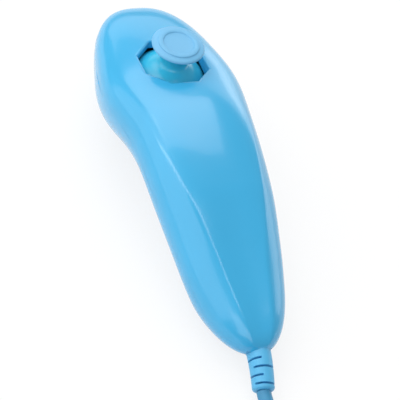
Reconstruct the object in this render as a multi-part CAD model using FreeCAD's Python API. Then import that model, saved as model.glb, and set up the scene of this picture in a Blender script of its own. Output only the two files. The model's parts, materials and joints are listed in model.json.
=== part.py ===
import FreeCAD, Part
import math
import os

# One-handed motion game controller, in millimetres. It rests on z = 0 with the
# thumb-stick up (+Z) and the nose with its two finger buttons forward (+Y).
# The origin is under the middle of the handset, on the surface it rests on.

os.makedirs("parts", exist_ok=True)

Vector = FreeCAD.Vector
Rotation = FreeCAD.Rotation
Placement = FreeCAD.Placement
X_AXIS = Vector(1, 0, 0)
Y_AXIS = Vector(0, 1, 0)
Z_AXIS = Vector(0, 0, 1)
FULL_TURN = 2 * math.pi
FAR = 90.0

# Outer form: seven stations along the body, tail first.
BODY_LENGTH = 113.0
NOSE = BODY_LENGTH / 2
TAIL = -NOSE
STATION_SHARES = (0.0, 0.14, 0.36, 0.56, 0.70, 0.84, 1.0)
HALF_WIDTHS = (11.6, 12.6, 15.7, 17.3, 19.1, 17.4, 16.4)
RISES = (7.9, 8.1, 9.3, 9.7, 9.4, 9.0, 7.9)
DROPS = (7.7, 11.0, 12.0, 12.6, 18.2, 21.05, 16.0)
SEAM_HEIGHTS = (8.6, 10.5, 18.4, 22.3, 21.4, 20.4, 20.4)
TAIL_ROUNDING = 26.6
NOSE_ROUNDING = 30.1
TAIL_FULLNESS = 2.2
NOSE_FULLNESS = 2.4
TOP_FULLNESS = 2.6
BELLY_FULLNESS = 2.0
TIP_FLAT = 0.03

# Creases that run back along the top and close up at the tail.
CREASE_SHARES = (0.0, 0.06, 0.15, 0.25, 0.36, 0.50, 0.62)
CREASE_HALF_WIDTHS = (2.8, 4.2, 5.8, 8.1, 10.9, 13.9, 15.5)
CREASE_RIDGES = (0.30, 0.40, 0.40, 0.34, 0.26, 0.14, 0.0)

# Shells.
WALL = 1.9
SEAM_GAP = 0.15

# Stick gate: an octagonal opening with a wall round it.
GATE_CENTRE = NOSE - 29.8
GATE_SINK = 0.44
GATE_CORNER_RADIUS = 9.7
GATE_WALL = 1.3
GATE_DEPTH = 3.2

# Stick mechanism, measured up and down from its pivot.
PIVOT_BELOW_GATE = 12.5
CAP_ABOVE_GATE = 7.0
CAP_RADIUS = 7.4
CAP_EDGE = 1.1
CAP_THICKNESS = 2.4
CAP_STEP = 0.45
CAP_DISH_RADIUS = 4.1
CAP_RING_INNER = 4.45
CAP_RING_OUTER = 5.2
CAP_SLOPE_INNER = 5.5
CAP_SLOPE_OUTER = 6.9
CAP_COLLAR = 1.2
STEM_RADIUS = 3.4
STEM_TOP = 16.4
DOME_RADIUS = 11.2
DOME_THICKNESS = 1.0
DOME_RIM = 6.3
DOME_NECK = 4.9
SHAFT_RADIUS = 1.9
SHAFT_FOOT_RADIUS = 2.3
SHAFT_BALL_RADIUS = 3.6
SHAFT_TOP = 15.0
HUB_BOTTOM = 8.7
PIN_RADIUS = 1.15
PIN_ROOT = 0.2
PIN_END_GAP = 0.2
RUNNING_GAP = 0.05
ROCKER_HALF_X = 5.4
ROCKER_HALF_Y = 4.6
ROCKER_HALF_Z = 1.9
ROCKER_OPEN_X = 4.2
ROCKER_OPEN_Y = 3.2
BAIL_INNER = 6.0
BAIL_OUTER = 7.0
BAIL_HALF_WIDTH = 3.1
BAIL_SLOT_X = 2.15
BAIL_SLOT_Y = 4.3
BAIL_ARM_DROP = 2.2
BAIL_ARM_OVERLAP = 0.4
FRAME_INNER = 7.3
FRAME_OUTER = 8.5
FRAME_TOP = 1.5
FRAME_BUMP_TOP = 2.5
FRAME_BUMP_HALF = 2.4
FRAME_FLOOR_TOP = -4.0
FRAME_FLOOR_BOTTOM = -5.2
CUP_INNER = 4.3
CUP_OUTER = 5.4
CUP_FLOOR_TOP = -8.4
CUP_FLOOR_BOTTOM = -9.4
PLATE_RADIUS = 4.1
PLATE_TOP = -3.5
PLATE_BOTTOM = -4.7
SEAT_GAP = 0.3
SPRING_WIRE = 0.5
SPRING_RADIUS = 3.2
SPRING_TURNS = 4
POT_HALF = 4.4
POT_DEPTH = 3.4
POT_TOP = 1.6
POT_BOTTOM = -5.2
POT_BORE_DEPTH = 1.8
EAR_X = 11.6
EAR_Y = 7.7
EAR_HALF = 2.2
EAR_THICKNESS = 1.5

# Screws.
SCREW_RADIUS = 0.95
SCREW_HEAD_RADIUS = 1.8
SCREW_HEAD_HEIGHT = 1.3
SCREW_CLEARANCE = 0.15
PILOT_RADIUS = 1.0
BOSS_RADIUS = 2.2
SHELL_BOSS_RADIUS = 2.9
STICK_SCREW_LENGTH = 5.5
BOARD_SCREW_LENGTH = 3.6
PILOT_SPARE = 0.5
SHELL_SCREWS = ((NOSE - 45.5, 11.6, 16.0, 13.0), (TAIL + 18.5, 3.4, 8.0, 9.0))

# Main board, under the seam, from the tail's screw to the stick, and what is on it.
BOARD_BACK = TAIL + 23.5
BOARD_FRONT = NOSE - 48.9
BOARD_LENGTH = BOARD_FRONT - BOARD_BACK
BOARD_HALF_WIDTH = 7.3
BOARD_BOTTOM = 13.0
BOARD_THICKNESS = 1.2
BOARD_SCREWS = ((-5.2, BOARD_BACK + 0.443 * BOARD_LENGTH), (5.2, BOARD_BACK + 2.8))
BOARD_REST = (0.0, BOARD_FRONT - 4.6)
CHIP_SIZE = (8.0, 8.0, 1.4)
CHIP_PLACE = (0.0, BOARD_BACK + 0.66 * BOARD_LENGTH)
SENSOR_SIZE = (5.0, 5.0, 1.5)
SENSOR_PLACE = (1.5, BOARD_BACK + 0.38 * BOARD_LENGTH)
CAPACITOR_RADIUS = 2.0
CAPACITOR_HEIGHT = 3.2
CAPACITOR_PLACES = ((5.0, BOARD_BACK + 0.88 * BOARD_LENGTH), (-5.0, BOARD_BACK + 0.88 * BOARD_LENGTH))
SOCKET_SIZE = (6.6, 4.6, 3.2)
SOCKET_BACK = BOARD_BACK + 4.0
LEAD_PLUG_SIZE = (6.0, 3.4, 2.4)

# Four round leads from the cord to the board, round the tail's screw.
LEAD_RADIUS = 0.45
LEAD_STARTS = (-1.65, -0.55, 0.55, 1.65)
LEAD_PASSES = (-4.8, -3.7, 3.7, 4.8)
LEAD_ENDS = (-2.25, -0.75, 0.75, 2.25)
LEAD_STRAIGHT = 2.0
LEAD_PASS_BACK = (TAIL + 13.3, 8.9)
LEAD_PASS_FRONT = (TAIL + 18.7, 12.2)

# Finger buttons, in their own frame: x across, y down the face, z outward.
FACE_CENTRE = (0.0, NOSE - 7.3, 7.0)
FACE_TILT = 38.0
WINDOW_HALF_WIDTH = 12.4
WINDOW_HALF_HEIGHT = 11.9
WINDOW_CORNER = 8.5
WINDOW_MIDDLE = -0.3
WINDOW_GAP = 0.1
BEZEL_RECESS = 0.6
BEZEL_THICKNESS = 2.5
BEZEL_FLANGE = 1.3
SEAT_SPACE = 0.05
NOSE_FORM_START = NOSE - 34.5
BUTTON_PROUD = 1.1
BUTTON_TRAVEL = 1.1
BUTTON_GAP = 0.2
BUTTON_FLANGE = 0.6
BUTTON_FLANGE_THICKNESS = 1.0
UPPER_BUTTON = (-7.2, 8.8, 3.6, 3.2)
LOWER_BUTTON = (3.8, 10.0, 5.7, 4.6)
POST_RADIUS = 1.6
POST_END = -8.6
MEMBRANE_TOP = -10.5
MEMBRANE_THICKNESS = 0.6
MEMBRANE_DOME = (2.6, 1.7)
MEMBRANE_MARGIN = 0.5
POST_SPACE = 0.1
BUTTON_BOARD_THICKNESS = 1.2
BUTTON_BOARD_HALF_WIDTH = 9.4
BUTTON_BOARD_HALF_HEIGHT = 9.0
BUTTON_BOARD_SCREWS = (-7.2, 7.2)
BUTTON_BOARD_SCREW_DOWN = 7.2
RIB_INNER = 5.7
RIB_OUTER = 8.8
RIB_BACK = NOSE - 26.5
RIB_FRONT = NOSE - 19.0
RIB_TOP = 11.9

# Flat flexible leads: places across, and points of the lower face, as the
# distance back from the nose and the height.
FLEX_THICKNESS = 0.3
FLEX_WIDTH = 2.4
STICK_FLEX_MIDDLE = 4.4
STICK_FLEX_POINTS = ((34.5, 12.0), (41.9, 12.0), (47.0, 12.7), (52.5, 12.7))
BUTTON_FLEX_MIDDLE = -4.3
BUTTON_FLEX_POINTS = ((21.6, 8.75), (23.5, 7.3), (35.5, 7.3), (40.5, 9.8),
                      (45.0, 12.2), (48.9, 12.7), (53.5, 12.7))

# Strain relief and cord.
CORD_RADIUS = 1.85
RELIEF_HEIGHT = 7.9
RELIEF_KNEE = TAIL + 0.6
RELIEF_START_RADIUS = 3.3
RELIEF_END_RADIUS = 3.0
RELIEF_LENGTH = 9.8
RELIEF_DROP = 22.0
RELIEF_SWING = 6.0
RELIEF_NECK_BACK = TAIL + 8.5
RELIEF_FLANGE_RADIUS = 4.3
RELIEF_FLANGE_THICKNESS = 1.5
RELIEF_HOLE_GAP = 0.1
RELIEF_SLOTS = ((1.6, 1), (3.4, -1), (5.4, 1), (7.2, -1))
RELIEF_SLOT_WIDTH = 1.2
RELIEF_CORE = 2.1

# Cord: a free stretch, a round coil in two layers, and a stretch to the plug,
# which lies on the coil.
CORD_POINTS = ((-1.53, TAIL - 13.97, 1.98), (2.11, TAIL - 22.0, 1.95))
COIL_CENTRE = (-13.0, TAIL - 47.0)
COIL_OUTER_RADIUS = 28.2
COIL_PITCH = 4.2
COIL_LAYER_RISE = 4.2
COIL_BASE = 1.95
COIL_START_TURN = 0.125
COIL_TURNS_IN = 3.25
COIL_TURNS_OUT = 3.375
COIL_CLIMB_TURNS = 0.5
COIL_LEAD = 1.0
COIL_EDGES_PER_TURN = 4
COIL_GAP_STEPS = 24
HEADING_STEP = 0.002
CORD_END_POINTS = ((15.91, TAIL - 55.0, 6.15), (12.2, TAIL - 62.1, 10.0), (5.6, TAIL - 65.1, 14.05))
PLUG_START = (-1.2, TAIL - 65.1, 14.05)
PLUG_HEADING = (-1.0, 0.0, 0.0)
CORNER_SHARE = 0.45
STRAIGHT_ENOUGH = 1e-6

# Plug on the cord's end, measured along its heading.
PLUG_HALF_WIDTH = 9.5
PLUG_HALF_HEIGHT = 6.0
PLUG_BODY_START = 5.0
PLUG_BODY_LENGTH = 19.0
PLUG_CORNER = 2.6
PLUG_BOOT_RADIUS = 3.2
PLUG_NOSE_LENGTH = 10.5
PLUG_NOSE_HALF_WIDTH = 5.8
PLUG_NOSE_HALF_HEIGHT = 3.4
CONTACT_COUNT = 6
CONTACT_PITCH = 1.7
CONTACT_WIDTH = 0.9
CONTACT_DEPTH = 0.35
CONTACT_LENGTH = 8.0
RELEASE_LENGTH = 9.0
RELEASE_HALF_HEIGHT = 2.8
RELEASE_START = 9.0
RELEASE_DEPTH = 2.9
RELEASE_PROUD = 1.0
RELEASE_TRAVEL = 0.8
RELEASE_GAP = 0.15
RELEASE_HOOK_THICKNESS = 1.0
RELEASE_HOOK_LENGTH = 8.5
RELEASE_HOOK_HALF_HEIGHT = 1.8
RELEASE_HOOK_REACH = 1.6
RELEASE_SKIN = 0.7
PLUG_BOOT_OVER_CORD = 0.7
PLUG_TIP_CHAMFER = 0.6

BOARD_TOP = BOARD_BOTTOM + BOARD_THICKNESS


# Small helpers.

def export(name, shape):
    shape.exportStep("parts/" + name + ".step")


def box(low, high):
    sides = [b - a for a, b in zip(low, high)]
    return Part.makeBox(*sides, Vector(*low))


def rod(radius, start, end):
    run = Vector(*end) - Vector(*start)
    return Part.makeCylinder(radius, run.Length, Vector(*start), run)


def ring(outer, inner, start, end):
    return rod(outer, start, end).cut(rod(inner, start, end))


def revolved(profile):
    points = [Vector(radius, 0, height) for radius, height in profile]
    face = Part.Face(Part.makePolygon(points + points[:1]))
    return face.revolve(Vector(), Z_AXIS, 360)


def screw(head_end, direction, length):
    # A pan-head screw whose head starts at head_end.
    seat = head_end + direction * SCREW_HEAD_HEIGHT
    head = Part.makeCylinder(SCREW_HEAD_RADIUS, SCREW_HEAD_HEIGHT, head_end, direction)
    cross = Part.makeBox(2 * SCREW_RADIUS, 0.4, SCREW_HEAD_HEIGHT, Vector(-SCREW_RADIUS, -0.2, 0))
    slots = cross.fuse(cross.rotated(Vector(), Z_AXIS, 90))
    turn = Rotation(Z_AXIS, direction)
    slots.Placement = Placement(head_end - direction * (SCREW_HEAD_HEIGHT / 2), turn)
    shank = Part.makeCylinder(SCREW_RADIUS, length, seat, direction)
    return head.cut(slots).fuse(shank).removeSplitter()


# Outer form.

def slope(places, values, index):
    # Slope of the parabola through three neighbouring stations.
    first = min(max(index - 1, 0), len(places) - 3)
    a, b, c = places[first:first + 3]
    u, v, w = values[first:first + 3]
    rate = (v - u) / (b - a)
    bend = ((w - v) / (c - b) - rate) / (c - a)
    return rate + bend * (2 * places[index] - a - b)


def between(places, values, place):
    last = len(places) - 2
    index = max(k for k in range(last + 1) if places[k] <= place or k == 0)
    span = places[index + 1] - places[index]
    t = (place - places[index]) / span
    leave = slope(places, values, index) * span
    arrive = slope(places, values, index + 1) * span
    start = (1 + 2 * t) * (1 - t) ** 2 * values[index] + t * (1 - t) ** 2 * leave
    end = t * t * (3 - 2 * t) * values[index + 1] + t * t * (t - 1) * arrive
    return start + end


def closing(distance, rounding, fullness):
    if distance >= rounding:
        return 1.0
    return (1 - (1 - distance / rounding) ** fullness) ** (1 / fullness)


def seam_height(y):
    share = min(max(y / BODY_LENGTH + 0.5, 0.0), 1.0)
    return between(STATION_SHARES, SEAM_HEIGHTS, share)


def girth(y, inset):
    # Half width, rise above and drop below the seam, at one place.
    share = y / BODY_LENGTH + 0.5
    tail = closing(y - TAIL - inset, TAIL_ROUNDING - inset, TAIL_FULLNESS)
    nose = closing(NOSE - inset - y, NOSE_ROUNDING - inset, NOSE_FULLNESS)
    sizes = (between(STATION_SHARES, row, share) for row in (HALF_WIDTHS, RISES, DROPS))
    return [(size - inset) * tail * nose for size in sizes]


# The gate lies just under the top of the form, and the stick's pivot below it.
GATE_HEIGHT = seam_height(GATE_CENTRE) + girth(GATE_CENTRE, 0)[1] - GATE_SINK
PIVOT = Vector(0, GATE_CENTRE, GATE_HEIGHT - PIVOT_BELOW_GATE)


def ridge(x, y, half_width):
    # Height that the two creases add to the top, zero past their front end.
    share = y / BODY_LENGTH + 0.5
    if share >= CREASE_SHARES[-1]:
        return 0.0
    place = between(CREASE_SHARES, CREASE_HALF_WIDTHS, share)
    height = max(between(CREASE_SHARES, CREASE_RIDGES, share), 0.0)
    place = min(place, half_width * 0.9)
    if abs(x) < place:
        return height * (x / place) ** 2
    return height * max((half_width - abs(x)) / (half_width - place), 0.0) ** 2


def section(y, inset, count, creased):
    half_width, rise, drop = girth(y, inset)
    points = []
    for k in range(count):
        angle = FULL_TURN * k / count
        across, up = math.cos(angle), math.sin(angle)
        fullness = TOP_FULLNESS if up > 0 else BELLY_FULLNESS
        height = rise if up > 0 else drop
        x = half_width * math.copysign(abs(across) ** (2 / fullness), across)
        z = height * math.copysign(abs(up) ** (2 / fullness), up)
        if creased and up > 0:
            z += ridge(x, y, half_width)
        points.append(Vector(x, y, seam_height(y) + z))
    return points


def form(inset, start=-FAR, sections=14, count=20, creased=False, ruled=False):
    # The closed body form, its surface moved inward by inset.
    low = max(start, TAIL + inset + TIP_FLAT)
    high = NOSE - inset - TIP_FLAT
    places = [k / count for k in range(count + 1)]
    wires = []
    for k in range(sections + 1):
        y = low + (high - low) * (1 - math.cos(math.pi * k / sections)) / 2
        if start > TAIL:
            y = low + (high - low) * math.sin(math.pi * k / sections / 2)
        curve = Part.BSplineCurve()
        curve.interpolate(Points=section(y, inset, count, creased),
                          PeriodicFlag=True, Parameters=places)
        wires.append(Part.Wire(curve.toShape()))
    return Part.makeLoft(wires, True, ruled)


def above_seam(lift):
    # Everything above the seam line, which is raised by lift.
    steps = 28
    reach = NOSE * 1.2
    ys = [-reach + 2 * reach * k / steps for k in range(steps + 1)]
    points = [Vector(-FAR, y, seam_height(y) + lift) for y in ys]
    curve = Part.BSplineCurve()
    curve.interpolate(Points=points)
    high = [Vector(-FAR, reach, FAR), Vector(-FAR, -reach, FAR)]
    path = [points[-1]] + high + [points[0]]
    lines = [Part.makeLine(a, b) for a, b in zip(path, path[1:])]
    face = Part.Face(Part.Wire([curve.toShape()] + lines))
    return face.extrude(Vector(2 * FAR, 0, 0))


# Finger-button frame.

FACE_PLACE = Placement(Vector(*FACE_CENTRE), Rotation(X_AXIS, -90 - FACE_TILT))


def on_face(shape):
    placed = shape.copy()
    placed.Placement = FACE_PLACE.multiply(placed.Placement)
    return placed


def rounded_prism(half_width, half_height, corner, middle, low, high):
    corner = min(corner, half_width * 0.98, half_height * 0.98)
    block = box((-half_width, middle - half_height, low), (half_width, middle + half_height, high))
    uprights = [e for e in block.Edges if abs(e.tangentAt(e.FirstParameter).z) > 0.9]
    return block.makeFillet(corner, uprights)


def window(grow, low, high):
    return on_face(rounded_prism(WINDOW_HALF_WIDTH + grow, WINDOW_HALF_HEIGHT + grow,
                                 WINDOW_CORNER + grow, WINDOW_MIDDLE, low, high))


def button_prism(size, grow, low, high):
    middle, half_width, half_height, corner = size
    return on_face(rounded_prism(half_width + grow, half_height + grow,
                                 corner + grow, middle, low, high))


# Stick mechanism.

def at_pivot(shape):
    placed = shape.copy()
    placed.translate(PIVOT)
    return placed


def octagon_prism(corner_radius, low, high):
    points = []
    for k in range(9):
        angle = FULL_TURN * (k + 0.5) / 8
        points.append(Vector(corner_radius * math.cos(angle),
                             PIVOT.y + corner_radius * math.sin(angle), low))
    return Part.Face(Part.makePolygon(points)).extrude(Vector(0, 0, high - low))


def stick_cap():
    top = PIVOT_BELOW_GATE + CAP_ABOVE_GATE
    base = top - CAP_THICKNESS
    edge = top - 2 * CAP_STEP
    profile = [(0, STEM_TOP), (0, top - CAP_STEP), (CAP_DISH_RADIUS, top - 0.7 * CAP_STEP),
               (CAP_RING_INNER, top), (CAP_RING_OUTER, top),
               (CAP_SLOPE_INNER, top - CAP_STEP), (CAP_SLOPE_OUTER, top - 1.3 * CAP_STEP),
               (CAP_RADIUS, edge), (CAP_RADIUS, edge - CAP_EDGE),
               (CAP_SLOPE_OUTER, base + 0.4 * CAP_STEP), (STEM_RADIUS + CAP_COLLAR, base),
               (STEM_RADIUS, base - CAP_STEP), (STEM_RADIUS, STEM_TOP)]
    return at_pivot(revolved(profile))


def stick_stem():
    outer = Part.makeSphere(DOME_RADIUS)
    inner = Part.makeSphere(DOME_RADIUS - DOME_THICKNESS)
    dome = outer.cut(inner).common(box((-FAR, -FAR, DOME_RIM), (FAR, FAR, FAR)))
    neck = math.sqrt(DOME_RADIUS ** 2 - DOME_NECK ** 2)
    profile = [(0, HUB_BOTTOM), (STEM_RADIUS - 0.2, HUB_BOTTOM), (STEM_RADIUS - 0.2, neck - 0.6),
               (DOME_NECK, neck), (STEM_RADIUS + 0.5, neck + 0.7), (STEM_RADIUS, neck + 2.0),
               (STEM_RADIUS, STEM_TOP), (0, STEM_TOP)]
    stem = dome.fuse(revolved(profile))
    return at_pivot(stem.cut(rod(SHAFT_RADIUS, (0, 0, 0), (0, 0, SHAFT_TOP)))).removeSplitter()


def stick_shaft():
    upper = rod(SHAFT_RADIUS, (0, 0, 0), (0, 0, SHAFT_TOP))
    lower = rod(SHAFT_FOOT_RADIUS, (0, 0, -SHAFT_BALL_RADIUS), (0, 0, ROCKER_HALF_Z))
    foot = lower.common(Part.makeSphere(SHAFT_BALL_RADIUS))
    end = ROCKER_HALF_Y - RUNNING_GAP
    pins = rod(PIN_RADIUS, (0, -end, 0), (0, end, 0))
    return at_pivot(upper.fuse([foot, pins])).removeSplitter()


def stick_rocker():
    body = box((-ROCKER_HALF_X, -ROCKER_HALF_Y, -ROCKER_HALF_Z),
               (ROCKER_HALF_X, ROCKER_HALF_Y, ROCKER_HALF_Z))
    body = body.cut(box((-ROCKER_OPEN_X, -ROCKER_OPEN_Y, -FAR), (ROCKER_OPEN_X, ROCKER_OPEN_Y, FAR)))
    bore = PIN_RADIUS + RUNNING_GAP
    body = body.cut(rod(bore, (0, -FAR, 0), (0, FAR, 0)))
    root = ROCKER_OPEN_X + PIN_ROOT
    left = rod(PIN_RADIUS, (-FRAME_OUTER + PIN_END_GAP, 0, 0), (-root, 0, 0))
    right = rod(PIN_RADIUS, (root, 0, 0), (FRAME_OUTER + POT_BORE_DEPTH - PIN_END_GAP, 0, 0))
    return at_pivot(body.fuse([left, right])).removeSplitter()


def stick_bail():
    arch = ring(BAIL_OUTER, BAIL_INNER, (-BAIL_HALF_WIDTH, 0, 0), (BAIL_HALF_WIDTH, 0, 0))
    arch = arch.common(box((-FAR, -FAR, 0), (FAR, FAR, FAR)))
    arms = []
    for side in (-1, 1):
        near, far = sorted((side * BAIL_INNER, side * BAIL_OUTER))
        arms.append(box((-BAIL_ARM_DROP, near, -BAIL_ARM_DROP), (BAIL_ARM_DROP, far, BAIL_ARM_OVERLAP)))
    root = BAIL_INNER + PIN_ROOT
    front = rod(PIN_RADIUS, (0, root, 0), (0, FRAME_OUTER - PIN_END_GAP, 0))
    back = rod(PIN_RADIUS, (0, -root, 0), (0, PIN_END_GAP - FRAME_OUTER - POT_BORE_DEPTH, 0))
    slot = box((-BAIL_SLOT_X, -BAIL_SLOT_Y, ROCKER_HALF_Z), (BAIL_SLOT_X, BAIL_SLOT_Y, FAR))
    return at_pivot(arch.fuse(arms + [front, back]).cut(slot)).removeSplitter()


def stick_frame():
    outer = box((-FRAME_OUTER, -FRAME_OUTER, FRAME_FLOOR_BOTTOM), (FRAME_OUTER, FRAME_OUTER, FRAME_TOP))
    inner = box((-FRAME_INNER, -FRAME_INNER, FRAME_FLOOR_TOP), (FRAME_INNER, FRAME_INNER, FAR))
    bumps = [box((-FRAME_OUTER, -FRAME_BUMP_HALF, 0), (FRAME_OUTER, FRAME_BUMP_HALF, FRAME_BUMP_TOP)),
             box((-FRAME_BUMP_HALF, -FRAME_OUTER, 0), (FRAME_BUMP_HALF, FRAME_OUTER, FRAME_BUMP_TOP))]
    cup = rod(CUP_OUTER, (0, 0, CUP_FLOOR_BOTTOM), (0, 0, FRAME_FLOOR_TOP))
    ears = [frame_ear(sign) for sign in (-1, 1)]
    frame = outer.fuse(bumps + [cup] + ears).cut(inner)
    frame = frame.cut(rod(CUP_INNER, (0, 0, CUP_FLOOR_TOP), (0, 0, FAR)))
    bore = PIN_RADIUS + RUNNING_GAP
    frame = frame.cut(rod(bore, (-FAR, 0, 0), (FAR, 0, 0)))
    frame = frame.cut(rod(bore, (0, -FAR, 0), (0, FAR, 0)))
    for sign in (-1, 1):
        place = (sign * EAR_X, -sign * EAR_Y)
        frame = frame.cut(rod(SCREW_RADIUS + SCREW_CLEARANCE, (*place, -FAR), (*place, FAR)))
    return at_pivot(frame).removeSplitter()


def frame_ear(sign):
    near, far = sorted((sign * FRAME_INNER, sign * (EAR_X + EAR_HALF)))
    return box((near, -sign * EAR_Y - EAR_HALF, FRAME_TOP - EAR_THICKNESS),
               (far, -sign * EAR_Y + EAR_HALF, FRAME_TOP))


def spring_plate():
    disc = rod(PLATE_RADIUS, (0, 0, PLATE_BOTTOM), (0, 0, PLATE_TOP))
    dish = Part.makeSphere(SHAFT_BALL_RADIUS + SEAT_GAP)
    return at_pivot(disc.cut(dish))


def centring_spring():
    low = CUP_FLOOR_TOP + SPRING_WIRE / 2 + RUNNING_GAP
    high = PLATE_BOTTOM - SPRING_WIRE / 2 - RUNNING_GAP
    pitch = (high - low) / SPRING_TURNS
    helix = Part.makeHelix(pitch, high - low, SPRING_RADIUS)
    helix.translate(Vector(0, 0, low))
    start = Vector(SPRING_RADIUS, 0, low)
    profile = Part.Wire(Part.makeCircle(SPRING_WIRE / 2, start, Y_AXIS))
    return at_pivot(Part.Wire(helix.Edges).makePipeShell([profile], True, True))


def pot(turn):
    body = box((FRAME_OUTER, -POT_HALF, POT_BOTTOM), (FRAME_OUTER + POT_DEPTH, POT_HALF, POT_TOP))
    bore = PIN_RADIUS + RUNNING_GAP
    body = body.cut(rod(bore, (0, 0, 0), (FRAME_OUTER + POT_BORE_DEPTH, 0, 0)))
    body.rotate(Vector(), Z_AXIS, turn)
    return at_pivot(body)


def stick_screws():
    screws = []
    for sign in (-1, 1):
        seat = PIVOT + Vector(sign * EAR_X, -sign * EAR_Y, FRAME_TOP - EAR_THICKNESS)
        screws.append(screw(seat - Z_AXIS * SCREW_HEAD_HEIGHT, Z_AXIS, STICK_SCREW_LENGTH))
    return Part.makeCompound(screws)


# Shells.

def boss_hole(place, low, high, radius):
    return rod(radius, (*place, low), (*place, high))


def relief_hole():
    radius = RELIEF_START_RADIUS + RELIEF_HOLE_GAP
    return rod(radius, (0, RELIEF_KNEE - WALL * 2, RELIEF_HEIGHT), (0, RELIEF_NECK_BACK, RELIEF_HEIGHT))


def shells():
    outer = form(0, creased=True)
    cavity = form(WALL, ruled=True)
    upper_space = above_seam(SEAM_GAP / 2)
    lower_space = above_seam(-SEAM_GAP / 2)
    upper = outer.common(upper_space)
    lower = outer.cut(lower_space)
    return upper_shell(upper, cavity), lower_shell(lower, cavity)


def upper_shell(block, cavity):
    shell = block.cut(cavity)
    low = GATE_HEIGHT - GATE_DEPTH
    extras = [octagon_prism(GATE_CORNER_RADIUS + GATE_WALL, low, FAR)]
    for sign in (-1, 1):
        place = (PIVOT.x + sign * EAR_X, PIVOT.y - sign * EAR_Y)
        extras.append(rod(BOSS_RADIUS, (*place, PIVOT.z + FRAME_TOP), (*place, FAR)))
    for y, seat, join, length in SHELL_SCREWS:
        extras.append(rod(BOSS_RADIUS, (0, y, join + SEAM_GAP), (0, y, FAR)))
    for extra in extras:
        shell = shell.fuse(extra.common(block))
    shell = shell.cut(octagon_prism(GATE_CORNER_RADIUS, low - 1, FAR))
    for sign in (-1, 1):
        place = (PIVOT.x + sign * EAR_X, PIVOT.y - sign * EAR_Y)
        top = PIVOT.z + FRAME_TOP - EAR_THICKNESS + STICK_SCREW_LENGTH + PILOT_SPARE
        shell = shell.cut(boss_hole(place, PIVOT.z, top, PILOT_RADIUS))
    for y, seat, join, length in SHELL_SCREWS:
        shell = shell.cut(boss_hole((0, y), join, seat + length + PILOT_SPARE, PILOT_RADIUS))
    return shell.cut(relief_hole()).removeSplitter()


def lower_shell(block, cavity):
    shell = block.cut(cavity)
    extras = []
    for y, seat, join, length in SHELL_SCREWS:
        extras.append(rod(SHELL_BOSS_RADIUS, (0, y, 0), (0, y, join)))
    for place in BOARD_SCREWS + (BOARD_REST,):
        extras.append(rod(BOSS_RADIUS, (*place, 0), (*place, BOARD_BOTTOM)))
    back = on_face(box((-FAR, -FAR, -FAR), (FAR, FAR, board_back())))
    for side in (-1, 1):
        xs = sorted((side * RIB_INNER, side * RIB_OUTER))
        rib = box((xs[0], RIB_BACK, 0), (xs[1], RIB_FRONT, RIB_TOP))
        extras.append(rib.common(back))
    for extra in extras:
        shell = shell.fuse(extra.common(block))
    shell = shell.cut(window(0, MEMBRANE_TOP, FAR))
    for y, seat, join, length in SHELL_SCREWS:
        shell = shell.cut(boss_hole((0, y), 0, FAR, SCREW_RADIUS + SCREW_CLEARANCE))
        shell = shell.cut(boss_hole((0, y), -1, seat, SCREW_HEAD_RADIUS + SCREW_CLEARANCE))
    for place in BOARD_SCREWS:
        low = BOARD_TOP - BOARD_SCREW_LENGTH - PILOT_SPARE
        shell = shell.cut(boss_hole(place, low, FAR, PILOT_RADIUS))
    for x in BUTTON_BOARD_SCREWS:
        start = (x, BUTTON_BOARD_SCREW_DOWN, board_back() - BOARD_SCREW_LENGTH)
        end = (x, BUTTON_BOARD_SCREW_DOWN, 0)
        shell = shell.cut(on_face(rod(PILOT_RADIUS, start, end)))
    return shell.cut(relief_hole()).removeSplitter()


def shell_screws():
    screws = [screw(Vector(0, y, seat - SCREW_HEAD_HEIGHT), Z_AXIS, length)
              for y, seat, join, length in SHELL_SCREWS]
    return Part.makeCompound(screws)


# Finger buttons.

def board_back():
    return MEMBRANE_TOP - MEMBRANE_THICKNESS - BUTTON_BOARD_THICKNESS


def nose_form(inset, ruled=True):
    return form(inset, start=NOSE_FORM_START, sections=10, ruled=ruled)


def finger_parts():
    deep = BEZEL_RECESS + BEZEL_THICKNESS
    face = nose_form(BEZEL_RECESS, ruled=False)
    behind_wall = form(WALL + SEAT_SPACE, ruled=True)
    bezel_inside = nose_form(deep)
    flange_top = nose_form(deep + BUTTON_GAP)
    flange_bottom = nose_form(deep + BUTTON_GAP + BUTTON_FLANGE_THICKNESS)
    proud = nose_form(-BUTTON_PROUD, ruled=False)
    plate = window(-WINDOW_GAP, MEMBRANE_TOP, FAR).common(face)
    flange = window(BEZEL_FLANGE, MEMBRANE_TOP, FAR).common(behind_wall)
    bezel = plate.fuse(flange).cut(bezel_inside)
    buttons = []
    for size in (UPPER_BUTTON, LOWER_BUTTON):
        bezel = bezel.cut(button_prism(size, BUTTON_GAP, -FAR / 3, FAR))
        button = button_prism(size, 0, POST_END, FAR).common(proud)
        skirt = button_prism(size, BUTTON_FLANGE, POST_END, FAR).common(flange_top)
        button = button.fuse(skirt).cut(flange_bottom)
        middle = size[0]
        post = on_face(rod(POST_RADIUS, (0, middle, POST_END), (0, middle, FAR)))
        button = button.fuse(post.common(face))
        buttons.append(button.removeSplitter())
    return bezel.removeSplitter(), buttons[0], buttons[1]


def button_board():
    low = board_back()
    plate = box((-BUTTON_BOARD_HALF_WIDTH, -BUTTON_BOARD_HALF_HEIGHT, low),
                (BUTTON_BOARD_HALF_WIDTH, BUTTON_BOARD_HALF_HEIGHT, low + BUTTON_BOARD_THICKNESS))
    for x in BUTTON_BOARD_SCREWS:
        hole = rod(SCREW_RADIUS + SCREW_CLEARANCE, (x, BUTTON_BOARD_SCREW_DOWN, -FAR),
                   (x, BUTTON_BOARD_SCREW_DOWN, FAR))
        plate = plate.cut(hole)
    return on_face(plate)


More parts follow.
